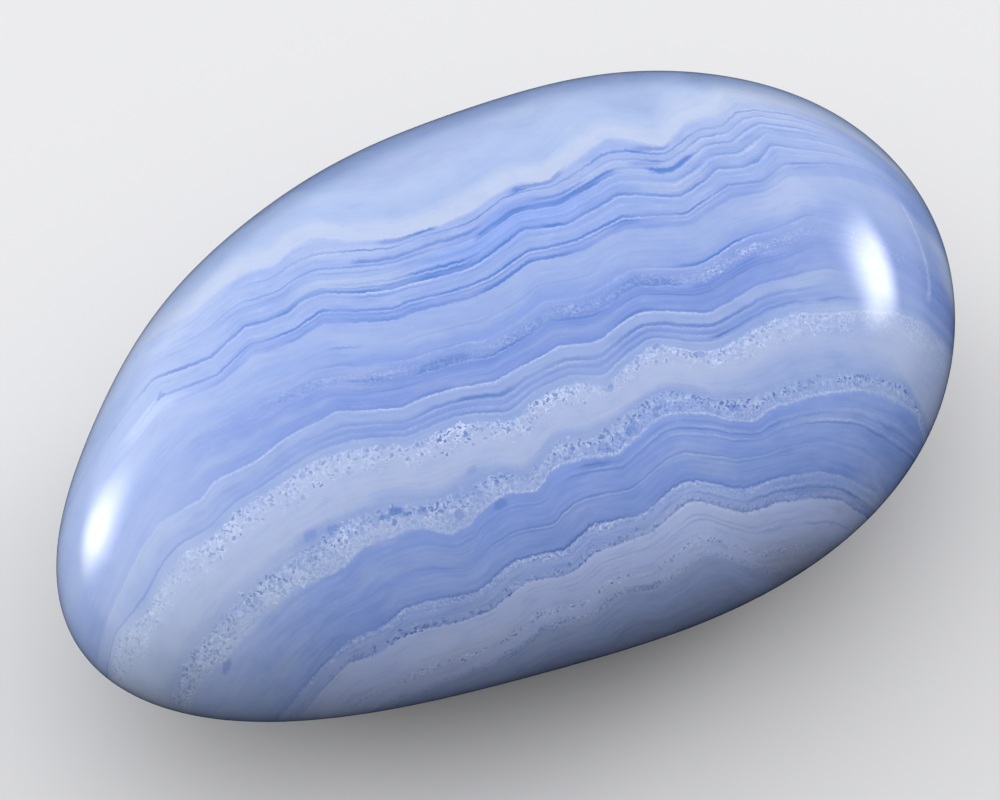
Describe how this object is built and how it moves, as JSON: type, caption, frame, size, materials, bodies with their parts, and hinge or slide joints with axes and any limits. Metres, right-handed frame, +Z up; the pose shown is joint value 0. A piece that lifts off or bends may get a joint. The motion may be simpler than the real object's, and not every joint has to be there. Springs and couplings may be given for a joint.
{
  "type": "blue lace agate palm stone",
  "caption": "Polished egg-shaped palm stone of pale blue banded agate, pillow-shaped from the side, resting on a small worn flat.",
  "frame": {"origin": "middle of the stone's length and width, on the plane that it rests on", "axes": "+X along the length towards the broad, thick end; +Y across the width; +Z up, through the thickness"},
  "size_m": [0.068, 0.0436, 0.026],
  "materials": {
    "polished_agate": "high polish"
  },
  "bodies": {
    "root": {"agate_pebble": "polished_agate"}
  },
  "joints": []
}
